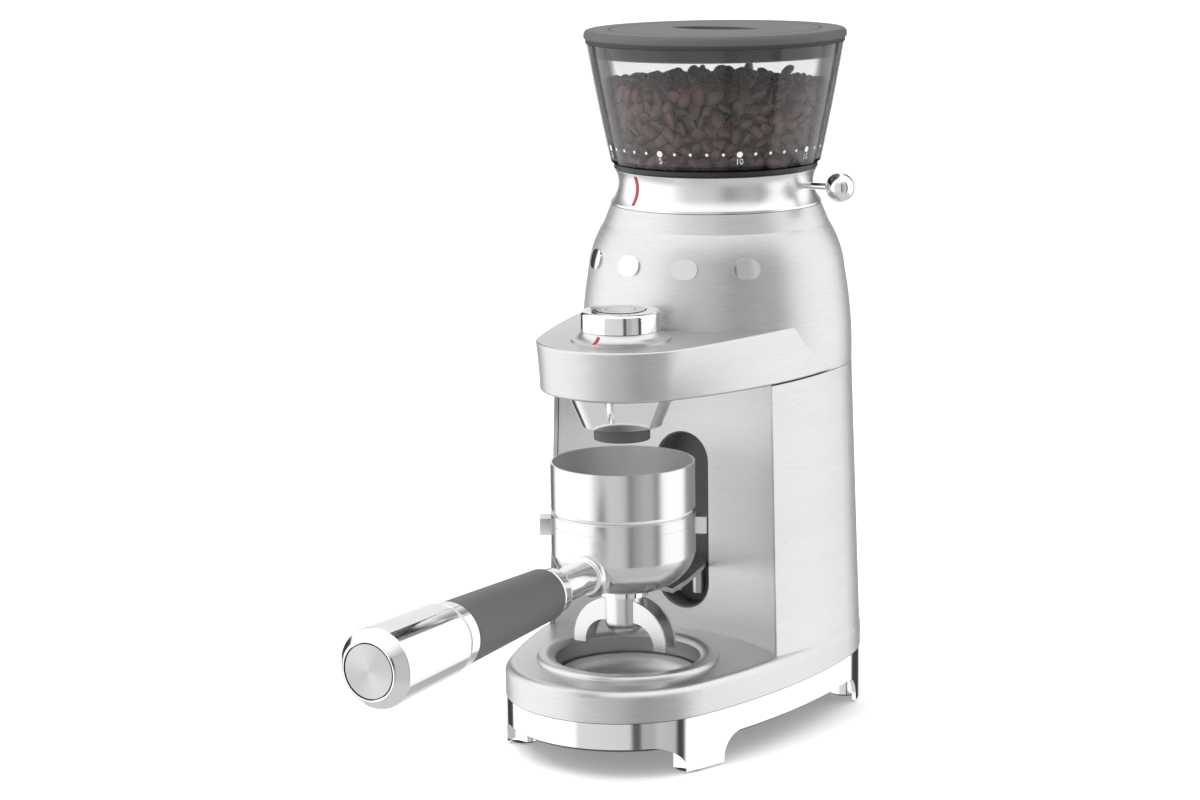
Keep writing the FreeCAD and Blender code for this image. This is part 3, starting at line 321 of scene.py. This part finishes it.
def blasted_inside(inner_radius):
    f = polished_chrome("dosing_steel", (0.74, 0.74, 0.745), 0.20)
    x, y, _ = f.place()
    a, b = x - dosing_axis.x, y - dosing_axis.y
    inside = hypot(a, b) < inner_radius
    # painted highlight: bright and dark streaks round the inner face, by angle
    painted_streaks = (b.math("ARCTAN2", a) * 3.0 + 0.6).math("COSINE") * 0.5 + 0.5
    painted_pale_inside = f.tint(painted_streaks, (0.62, 0.62, 0.625), (0.98, 0.98, 0.98))
    # painted light: the inner face is lightened and made less metallic
    return f.set(Base_Color=f.tint(inside, f.colour(), painted_pale_inside), Metallic=1 - inside * 0.85)


ring_low, ring_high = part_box("dosing_ring")
dress(blasted_inside((ring_high.x - ring_low.x) / 2 - OUTER_SKIN), "dosing_ring")

# %% [markdown]
# ## Spun and satin steel
# Parts that are finished on a lathe carry fine rings round their axis. A one-dimensional
# noise of the distance from that axis draws them, whatever the part's outline. The fork is
# far from the axis it uses, so its rings run nearly straight, like rolled sheet.

# %% Spun steel
RING_SCALE = 2600.0


def spun_steel(name, centre, across="XY", colour=(0.72, 0.72, 0.725), roughness=0.22):
    f = Finish(name, Metallic=1.0)
    place = dict(zip("XYZ", f.place()))
    a = place[across[0]] - centre["XYZ".index(across[0])]
    b = place[across[1]] - centre["XYZ".index(across[1])]
    rings = f.rings(hypot(a, b), RING_SCALE, 3.0)
    f.set(Base_Color=f.tint(rings, [c * 0.8 for c in colour], colour),
          Roughness=rings * 0.14 + roughness)
    return f.bump(rings, 0.00002, 0.4)


dress(spun_steel("spun_tray_ring", tray_axis, roughness=0.32), "tray_ring")
dress(spun_steel("spun_dish", tray_axis, colour=(0.74, 0.74, 0.745), roughness=0.40),
      "tray_dish")
dress(spun_steel("spun_knob_seat", dosing_axis, roughness=0.26), "knob_seat")
# The basket is painted near white. This is painted light inside the cup, where little light
# reaches.
dress(spun_steel("spun_basket", dosing_axis, colour=(0.98, 0.98, 0.98), roughness=0.26),
      "filter_basket")
dress(spun_steel("spun_well", tray_axis, colour=(0.52, 0.52, 0.525), roughness=0.36),
      "tray_well")
dress(spun_steel("satin_fork_steel", burr_axis, roughness=0.3), "portafilter_fork")

# %% [markdown]
# A disc spun on a lathe shows bright and dark fans that turn as it is moved. Here the fans
# are a painted reflection in the tone: the angle round the axis, doubled, goes through a
# cosine. A dark line at the rim, painted shade of the groove round the disc, sets it off from
# the cap.

# %% Medallion
MEDALLION_SHADE_LINE = 0.0137                  # radius where the dark line starts


def fanned_steel(name, centre):
    f = spun_steel(name, centre, "XZ", colour=(0.62, 0.62, 0.625), roughness=0.24)
    x, _, z = f.place()
    a, b = x - centre.x, z - centre.z
    turn = b.math("ARCTAN2", a)
    # painted reflection: bright and dark fans by angle, with finer streaks, multiplied into the
    # tone
    painted_fan = (turn * 2.0 + 1.9).math("COSINE") * 0.5 + 0.5
    fine = f.rings(turn, 14.0)
    shade = f.tint(painted_fan * 0.7 + fine * 0.4 - 0.05, (0.74, 0.74, 0.74), (1.0, 1.0, 1.0))
    disc = f.tint(1.0, f.colour(), shade, "MULTIPLY")
    # painted shade: a near-black line past this radius, round the disc's rim
    rim = hypot(a, b) > MEDALLION_SHADE_LINE
    return f.set(Base_Color=f.tint(rim, disc, (0.05, 0.05, 0.052)))


dress(fanned_steel("spun_medallion", handle_axis), "handle_medallion")

# %% [markdown]
# ## Start button
# The button is a satin disc with a ring engraved round it and painted shade in a line at its
# edge.
# Both are masks on the radius that darken the metal.

# %% Start button
ENGRAVED_FROM, ENGRAVED_TO = 0.0079, 0.0086     # radii in metres
BUTTON_SHADE_FROM = 0.0136


def engraved_button():
    f = spun_steel("engraved_button", dosing_axis, roughness=0.18)
    x, y, _ = f.place()
    radius = hypot(x - dosing_axis.x, y - dosing_axis.y)
    engraved = (radius > ENGRAVED_FROM) * (radius < ENGRAVED_TO)
    # painted shade: past the button's edge the colour turns near black, like the shadow in its
    # gap
    return f.set(Base_Color=f.tint(engraved + (radius > BUTTON_SHADE_FROM), f.colour(),
                                   (0.06, 0.06, 0.065)))


dress(engraved_button(), "start_button")

# %% [markdown]
# ## Moulded plastic and rubber
# Moulds are etched with a fine grain so that fingerprints don't show. It is a small noise
# in the bump and a little in the roughness. Rubber has a coarser grain.

# %% Moulded plastics
def moulded(name, colour, roughness, grain=1400.0, depth=0.00004):
    f = Finish(name)
    point = f.vector(*f.place())
    fine, drift = f.noise(point, grain, 2.0), f.noise(point, 45.0, 3.0)
    f.set(Base_Color=f.tint(drift, [c * 0.86 for c in colour], [c * 1.1 for c in colour]),
          Roughness=fine * 0.12 + drift * 0.08 + roughness)
    return f.bump(fine, depth, 0.5)


dress(moulded("recess_plastic", (0.17, 0.17, 0.173), 0.42), "recess_liner")
dress(moulded("dark_plastic", (0.055, 0.055, 0.058), 0.42), "brow_plate", "bottom_cover",
      "grounds_chute", "rotary_encoder")
dress(moulded("foot_band_plastic", (0.012, 0.012, 0.013), 0.3), "hopper_foot")
dress(moulded("lid_plastic", (0.085, 0.085, 0.088), 0.48), "lid")
dress(moulded("burr_housing_plastic", (0.2, 0.2, 0.205), 0.45), "burr_carrier", "sweeper")
dress(moulded("soft_rubber", (0.035, 0.035, 0.036), 0.6, 900.0, 0.00006), "lid_seal",
      "foot_pads", "cord_gland")
dress(moulded("spout_rubber", (0.10, 0.10, 0.102), 0.5, 900.0, 0.00006), "outlet_spout")
dress(moulded("grip_rubber", (0.088, 0.088, 0.09), 0.42, 1100.0, 0.00003), "handle_grip")
dress(moulded("red_enamel", (0.36, 0.008, 0.014), 0.3), "collar_index", "knob_index")
dress(moulded("board_lacquer", (0.03, 0.2, 0.08), 0.35), "control_board")

# %% [markdown]
# ## Machined and cast metal inside
# Nobody sees the drive without opening the shell, but a part that is taken out of its
# shelf box should still look like what it is: turned steel, a brass gear and castings.

# %% Machined metal
def machined(name, colour, roughness, scale):
    f = Finish(name, Metallic=1.0)
    x, y, z = f.place()
    marks = f.noise(f.vector(x * 60.0, y * 60.0, z * scale), 1.0, 3.0)
    f.set(Base_Color=f.tint(marks, [c * 0.8 for c in colour], colour),
          Roughness=marks * 0.2 + roughness)
    return f.bump(marks, 0.00002, 0.4)


dress(machined("turned_steel", (0.55, 0.55, 0.56), 0.25, 1800.0), "cover_screws",
      "shaft_bearings", "motor_can", "motor_rotor", "motor_pinion", "burr_shaft", "cone_burr",
      "ring_burr", "button_spring", "basket_spring")
dress(machined("gear_brass", (0.75, 0.55, 0.25), 0.28, 1200.0), "drive_gear", "burr_nut")
dress(machined("cast_alloy", (0.5, 0.5, 0.51), 0.42, 300.0), "motor_mount", "gear_case",
      "grind_chamber")

# %% [markdown]
# ## Smoked clear hopper
# The hopper is a clear moulding with a grey tint. Real glass in a path tracer throws dark
# shadows, because light can't find its way straight through a bending surface. So rays
# that go to a lamp see a transparent wall, and all others see the real glass. The grey is
# in the volume: the longer the way through the plastic, the darker it looks. A thick wall
# also turns dark where it curves away from the eye, and the layer weight draws that band.

# %% Smoked clear hopper
EDGE_STARTS, EDGE_GAIN = 0.43, 16.0     # where the dark band starts, and how fast it fills


def smoked_clear():
    f = Finish("smoked_clear", Transmission_Weight=1.0, IOR=1.40)
    drift = f.noise(f.vector(*f.place()), 30.0)
    facing = f.node("LayerWeight", values={"Blend": 0.5}, out=1)
    band = ((facing - EDGE_STARTS) * EDGE_GAIN).math("MAXIMUM", 0.0).math("MINIMUM", 1.0)
    clear = f.tint(drift, (0.93, 0.93, 0.93), (0.96, 0.96, 0.96))
    f.set(Base_Color=f.tint(band, clear, (0.12, 0.12, 0.12)), Roughness=drift * 0.006)
    grey = f.node("VolumeAbsorption", values={"Color": (0.44, 0.435, 0.43, 1.0),
                                              "Density": 110.0})
    f.plug(grey, f.output.inputs["Volume"])
    lamp_ray = f.node("LightPath", out="Is Shadow Ray")
    glass = Wire(f, f.shader.outputs[0])
    through = f.node("BsdfTransparent", values={"Color": (0.93, 0.93, 0.93, 1.0)})
    f.plug(f.node("MixShader", values={0: lamp_ray, 1: glass, 2: through}),
           f.output.inputs["Surface"])
    return f


dress(smoked_clear(), "hopper")

# %% [markdown]
# ## Coffee beans
# A bean is an oval with one flat side and a crease down it. It starts as a coarse sphere,
# because hundreds of copies are needed and each should have few faces. The flat side is
# made by pressing the lower half up, and the crease by pulling the middle line of that
# side in and drawing its two banks together.

# %% One bean
BEAN_HALVES = (0.0058, 0.0043, 0.0034)  # half length, width and height in metres
PRESS, CREASE, DRAW = 0.5, 0.30, 0.5    # flat side pressed up, crease cut in, banks drawn in
LINE, BANKS = 0.1, 0.5                  # how far the crease and its banks reach sideways


def nothing_selected():
    if bpy.context.object and bpy.context.object.mode != "OBJECT":
        bpy.ops.object.mode_set(mode="OBJECT")
    bpy.ops.object.select_all(action="DESELECT")


nothing_selected()
bpy.ops.mesh.primitive_uv_sphere_add(segments=14, ring_count=9, radius=1.0)
bean = bpy.context.object
bean.name = "bean_pattern"
bpy.ops.object.mode_set(mode="EDIT")
bpy.ops.mesh.select_all(action="SELECT")
bpy.ops.transform.rotate(value=math.radians(90), orient_axis="Y", center_override=(0, 0, 0))
bpy.ops.object.mode_set(mode="OBJECT")
for vertex in bean.data.vertices:
    p = vertex.co
    if p.z < 0:
        p.z *= PRESS
        if abs(p.y) < LINE:
            p.z += CREASE * (1 - p.x ** 2) ** 0.5
        elif abs(p.y) < BANKS:
            p.y *= DRAW
    vertex.co = [share * half for share, half in zip(p, BEAN_HALVES)]
bpy.ops.object.shade_smooth()
print("one bean:", len(bean.data.polygons), "faces")

# %% [markdown]
# ## Filling the hopper
# Only the beans against the wall and on top can be seen, so a shell of beans round a dark
# core is enough. Their places start as random points: each is pushed away from its near
# neighbours many times, which spreads them as evenly as poured beans lie.

# %% Bean places
FOOT_RADIUS, RIM_RADIUS, BULGE = 0.0562, 0.0712, 0.28    # inside the hopper, metres
BED_LOW, BED_TOP = seat_z + 0.0042, 0.3565
MIDDLE_RADIUS = 0.066                   # where the wall's beans are spread out
ROWS = ((0.0044, 300), (0.0100, 230))   # against the wall: distance from it, number of beans
HEAPS = ((0.0, 150), (0.0055, 120))     # on top: depth under the top, number of beans
HEAP_REACH, HEAP_HALF, HEAP_RISE = 0.0605, 0.062, 0.004    # radius, square, and rise
WALL_APART, HEAP_APART = 0.0089, 0.0092
LEAN, TIP = 0.6, 0.35                   # how unevenly beans lean at the wall and on top
UNEVEN = 0.0014                         # how far the top beans stand above or below the heap
WALL_TILT = -0.12                       # the wall faces a little downwards
SIZES = (0.88, 1.08)                    # smallest and largest bean, as a share of the pattern
rng = np.random.default_rng(7)


def wall_radius(z):
    """Inside radius of the hopper at a height, slightly bulged."""
    t = (z - seat_z) / (rim_z - seat_z)
    return FOOT_RADIUS + (RIM_RADIUS - FOOT_RADIUS) * (t + BULGE * t * (1 - t))


def spread(points, width, low, high, apart, wraps, rounds=40):
    """Push crowded points apart; the first coordinate may run round a circle."""
    for _ in range(rounds):
        gap = points[:, None, :] - points[None, :, :]
        if wraps:
            gap[..., 0] -= width * np.round(gap[..., 0] / width)
        far = np.linalg.norm(gap, axis=2) + np.eye(len(points))
        push = np.clip(apart - far, 0, None) / far
        points += 0.35 * (gap * push[..., None]).sum(1)
        if wraps:
            points[:, 0] %= width
        points[:, 1] = np.clip(points[:, 1], low, high)
    return points


def bean_at(origin, outward, inset, twist):
    """A turn and place for one bean, its back or its flat side outward."""
    z_axis = outward.normalized()
    x_axis = z_axis.orthogonal().normalized()
    turn = Matrix((x_axis, z_axis.cross(x_axis), z_axis)).transposed().to_4x4()
    lean = Matrix.Rotation(rng.normal(0, LEAN), 4, "X")
    lean = lean @ Matrix.Rotation(rng.normal(0, LEAN), 4, "Y")
    flip = Matrix.Rotation(math.pi if rng.random() < 0.5 else 0.0, 4, "X")
    return (Matrix.Translation(origin - z_axis * inset) @ turn
            @ Matrix.Rotation(twist, 4, "Z") @ lean @ flip
            @ Matrix.Scale(rng.uniform(*SIZES), 4))


places = []
girth = 2 * math.pi * MIDDLE_RADIUS
for inset, count in ROWS:
    points = rng.random((count, 2)) * (girth, BED_TOP - BED_LOW) + (0, BED_LOW)
    points = spread(points, girth, BED_LOW, BED_TOP + 0.002, WALL_APART, True)
    for u, z in points:
        angle = 2 * math.pi * u / girth
        outward = Vector((math.cos(angle), math.sin(angle), WALL_TILT))
        r = wall_radius(z)
        origin = Vector((r * outward.x, r * outward.y + burr_axis.y, z))
        places.append(bean_at(origin, outward, inset, rng.uniform(0, 2 * math.pi)))
for drop, count in HEAPS:
    points = rng.uniform(-HEAP_HALF, HEAP_HALF, (count, 2))
    points = spread(points, 1.0, -HEAP_HALF, HEAP_HALF, HEAP_APART, False)
    for x, y in points:
        away = math.hypot(x, y)
        if away < HEAP_REACH:
            heap = BED_TOP + HEAP_RISE - drop + HEAP_RISE * (1 - (away / HEAP_REACH) ** 2)
            up = Vector((rng.normal(0, TIP), rng.normal(0, TIP), 1))
            origin = Vector((x, y + burr_axis.y, heap + rng.normal(0, UNEVEN)))
            places.append(bean_at(origin, up, 0.0, rng.uniform(0, 2 * math.pi)))
print("beans placed:", len(places))

# %% [markdown]
# Each place gets a copy of the pattern with a mesh of its own. The pattern itself joins
# them as the active object, lying on the first copy.

# %% Copy the beans
nothing_selected()
for place in places:
    copy = bean.copy()
    copy.data = bean.data.copy()
    copy.matrix_world = place
    bpy.context.scene.collection.objects.link(copy)
    copy.select_set(True)
bpy.context.view_layer.objects.active = bean
bean.select_set(True)
bean.matrix_world = places[0]
bpy.ops.object.join()
bpy.ops.object.transform_apply(location=True, rotation=True, scale=True)
bean.name = "coffee_beans"
print("beans:", len(bean.data.polygons), "faces")

# %% [markdown]
# Behind the shell of beans sits a plain dark core, painted shade of the beans deeper in, so
# that no light shows through the gaps. It starts as a cylinder, is narrowed towards its
# foot, and is covered by beans everywhere.

# %% Bean core
CORE_DEPTH = 0.0085                     # how far inside the wall the core stays
core_low, core_high = seat_z + 0.001, BED_TOP - 0.004
nothing_selected()
bpy.ops.mesh.primitive_cylinder_add(vertices=64, radius=1.0, depth=core_high - core_low,
                                    location=(0, burr_axis.y, (core_low + core_high) / 2))
core = bpy.context.object
core.name = "bean_core"
bpy.ops.object.transform_apply(location=True)
for vertex in core.data.vertices:
    r = wall_radius(vertex.co.z) - CORE_DEPTH
    vertex.co.x *= r
    vertex.co.y = burr_axis.y + (vertex.co.y - burr_axis.y) * r
bpy.ops.object.shade_smooth_by_angle(angle=math.radians(40))

# %% [markdown]
# Roasted beans differ from one to the next. A slow noise, as wide as a bean, changes the
# tone from bean to bean, and a fine one gives the matt, slightly oily skin.

# %% Roasted finish
def roasted(name, dark, light, roughness):
    f = Finish(name, Specular_IOR_Level=0.6, Coat_Weight=0.2, Coat_Roughness=0.16)
    point = f.vector(*f.place())
    tone, skin = f.noise(point, 95.0, 1.0), f.noise(point, 900.0, 3.0)
    f.set(Base_Color=f.tint(tone * 1.7 - 0.5 + skin * 0.3, dark, light),
          Roughness=skin * 0.25 + roughness)
    return f.bump(skin, 0.0001, 0.4)


def finish_piece(piece, finish, body):
    """Put a finish on a new piece and let it ride with its body."""
    piece.data.materials.clear()
    piece.data.materials.append(finish.material)
    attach(piece, body)


roast = roasted("roasted_beans", (0.005, 0.0018, 0.0012), (0.115, 0.037, 0.023), 0.3)
finish_piece(bean, roast, "hopper")
# painted shade: the core's near-black finish
finish_piece(core, roasted("bean_shade", (0.008, 0.004, 0.003), (0.02, 0.01, 0.007), 0.8),
             "hopper")

# %% [markdown]
# ## Printed scale
# White dots round the foot of the hopper mark the settings, with a larger dot and a
# number at every fifth. A dot is a flat disc and a number is a text object made into a
# mesh. Each is then wrapped: its width becomes an angle, and its height follows the wall.

# %% Printed scale
STEP = 8.45                     # degrees between two settings
FIRST_FIVE = -1.7               # where setting 5 stands, from the front towards +X
DOT_Z = seat_z + 0.0102
DIGIT_Z = seat_z + 0.0060
SETTINGS, NUMBERED = 31, 5      # settings in all, and how many steps from number to number
DOT_SMALL, DOT_LARGE, DIGIT_SIZE = 0.00085, 0.0017, 0.0046
PRINT_PROUD = 0.00012           # keeps the print clear of the wall
OUTER_LEAST = 0.058             # a vertex further out than this may be on the outer wall
wall = nodes["hopper"].data
points = [(v.co.z, math.hypot(v.co.x, v.co.y - burr_axis.y)) for v in wall.vertices]
outline = [(z, r) for z, r in points if z > seat_z and r > OUTER_LEAST]
heights = sorted({round(z, 5) for z, _ in outline})
outer = [max(r for zz, r in outline if abs(zz - z) < 0.0002) for z in heights]
print("wall outline:", len(heights), "heights")


def wrap(piece, angle, z):
    """Lay a flat mesh drawn at the origin on the hopper's outer wall."""
    for vertex in piece.data.vertices:
        height = z + vertex.co.y
        r = float(np.interp(height, heights, outer)) + PRINT_PROUD
        turn = math.radians(angle) + vertex.co.x / r
        vertex.co = (r * math.sin(turn), burr_axis.y - r * math.cos(turn), height)


prints = []
for setting in range(SETTINGS):
    angle = FIRST_FIVE + (setting - 5) * STEP
    nothing_selected()
    big = setting % NUMBERED == 0
    bpy.ops.mesh.primitive_circle_add(vertices=20, radius=DOT_LARGE if big else DOT_SMALL,
                                      fill_type="TRIFAN")
    dot = bpy.context.object
    wrap(dot, angle, DOT_Z)
    prints.append(dot)
    if big:
        nothing_selected()
        bpy.ops.object.text_add()
        digit = bpy.context.object
        digit.data.body = str(setting)
        digit.data.size = DIGIT_SIZE
        digit.data.align_x, digit.data.align_y = "CENTER", "CENTER"
        bpy.ops.object.convert(target="MESH")
        wrap(bpy.context.object, angle, DIGIT_Z)
        prints.append(bpy.context.object)
nothing_selected()
for piece in prints:
    piece.select_set(True)
bpy.context.view_layer.objects.active = prints[0]
bpy.ops.object.join()
scale_print = bpy.context.object
scale_print.name = "printed_scale"
finish_piece(scale_print, moulded("print_white", (0.8, 0.8, 0.8), 0.4), "hopper")
print("printed scale:", len(scale_print.data.polygons), "faces")

# %% [markdown]
# ## Floor and light
# The floor is a broad pale disc. The room is drawn in the world shader as a ring of grey
# walls: bright panels at the sides, a dimmer front with narrow dark strips in it, and wide
# dark strips behind, which give polished metal its crisp edges. The overhead is bright and
# the ground grey. Rays from the camera see plain white instead.

# %% Floor
nothing_selected()
bpy.ops.mesh.primitive_circle_add(vertices=96, radius=9.0, fill_type="NGON",
                                  location=(0, 0, -0.0004))
floor = bpy.context.object
floor.name = "floor"
pale = Finish("pale_floor", Roughness=0.7, Specular_IOR_Level=0.1, Emission_Strength=0.22,
              Emission_Color=(1.0, 1.0, 1.0, 1.0))
drift = pale.noise(pale.vector(*pale.place()), 3.0)
pale.set(Base_Color=pale.tint(drift, (0.86, 0.86, 0.86), (0.88, 0.88, 0.88)))
floor.data.materials.append(pale.material)
floor.visible_glossy = False

# %% Room
PANELS = [(-180, 0.95), (-164, 0.95), (-161, 0.05), (-141, 0.06), (-138, 1.5), (-52, 1.5),
          (-46, 0.85), (5, 0.75), (8, 0.12), (14, 0.12), (17, 0.50), (27, 0.48), (33, 0.62),
          (50, 0.58), (53, 0.06), (59, 0.06), (63, 1.45), (134, 1.45), (138, 0.06), (159, 0.06),
          (163, 0.95), (180, 0.95)]         # degrees from the camera's side, and brightness
GROUND, OVERHEAD, SEEN = (0.7, 0.7, 0.7), (1.5, 1.5, 1.5), (1.0, 1.0, 1.0)

world = bpy.data.worlds.new("studio")
bpy.context.scene.world = world
world.use_nodes = True
room = Graph(world.node_tree)
room.tree.nodes.clear()
dx, dy, dz = room.split(room.node("TexCoord", out="Generated"))
front = Vector((math.sin(math.radians(HEADING)), -math.cos(math.radians(HEADING))))
facing = dx * front.x + dy * front.y
beside = dx * -front.y + dy * front.x
turn = beside.math("ARCTAN2", facing) / (2 * math.pi) + 0.5
stops = [(angle / 360 + 0.5, (level, level, level)) for angle, level in PANELS]
walls = room.node("ValToRGB", {"stops": stops}, {0: turn})
overhead = (dz * 2.2 - 1.1).math("MAXIMUM", 0.0).math("MINIMUM", 1.0)
underfoot = (dz * -4.0 - 1.6).math("MAXIMUM", 0.0).math("MINIMUM", 1.0)
studio = room.tint(overhead, room.tint(underfoot, walls, GROUND), OVERHEAD)
shown = room.tint(room.node("LightPath", out="Is Camera Ray"), studio, SEEN)
glow = room.node("Background", values={"Color": shown, "Strength": 1.0})
room.plug(glow, room.tree.nodes.new("ShaderNodeOutputWorld").inputs[0])
print("room ready")

# %% [markdown]
# One softbox, high in front on the left, gives the machine its faint shadow on the floor.
# It is hidden from mirrors, because the room's panels already show there.

# %% Softbox
SOFTBOX_PLACE, SOFTBOX_AIM = Vector((-0.7, -0.9, 1.9)), Vector((0, 0.05, 0.15))

lamp_data = bpy.data.lights.new("top_softbox", "AREA")
lamp_data.shape, lamp_data.size, lamp_data.energy = "SQUARE", 1.2, 22.0
lamp = bpy.data.objects.new("top_softbox", lamp_data)
bpy.context.scene.collection.objects.link(lamp)
lamp.location = SOFTBOX_PLACE
lamp.rotation_euler = (SOFTBOX_AIM - SOFTBOX_PLACE).to_track_quat("-Z", "Y").to_euler()
lamp.visible_glossy = False
